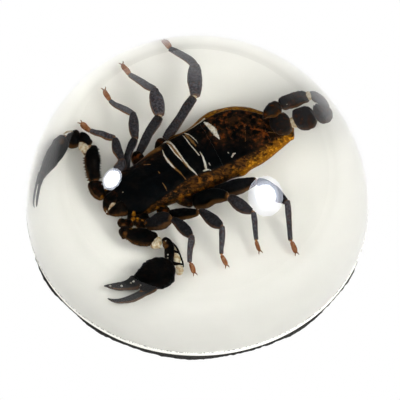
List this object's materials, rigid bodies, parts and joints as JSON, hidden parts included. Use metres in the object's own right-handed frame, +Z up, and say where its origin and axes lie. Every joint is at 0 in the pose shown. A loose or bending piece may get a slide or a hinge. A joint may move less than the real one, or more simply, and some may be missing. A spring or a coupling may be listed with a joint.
{
  "type": "scorpion in resin dome paperweight",
  "caption": "Clear resin half-ball paperweight with a dried black scorpion sealed low inside it, over a white resin layer and a thin felt pad.",
  "frame": {"origin": "centre of the felt pad's underside, on the surface that the paperweight rests on", "axes": "+Z up through the top of the dome, -Y to the side it is seen from, with the scorpion's head towards -X and its tail towards +X and +Y"},
  "size_m": [0.08, 0.08, 0.0403],
  "materials": {
    "felt": "matt black felt",
    "white_resin": "opaque warm white cast resin",
    "clear_resin": "polished clear cast resin",
    "scorpion_shell": "near-black horny shell with brown edges"
  },
  "bodies": {
    "root": {"felt_pad": "felt", "white_backing": "white_resin", "dome_lower": "clear_resin", "dome_upper": "clear_resin", "scorpion": "scorpion_shell"}
  },
  "joints": []
}
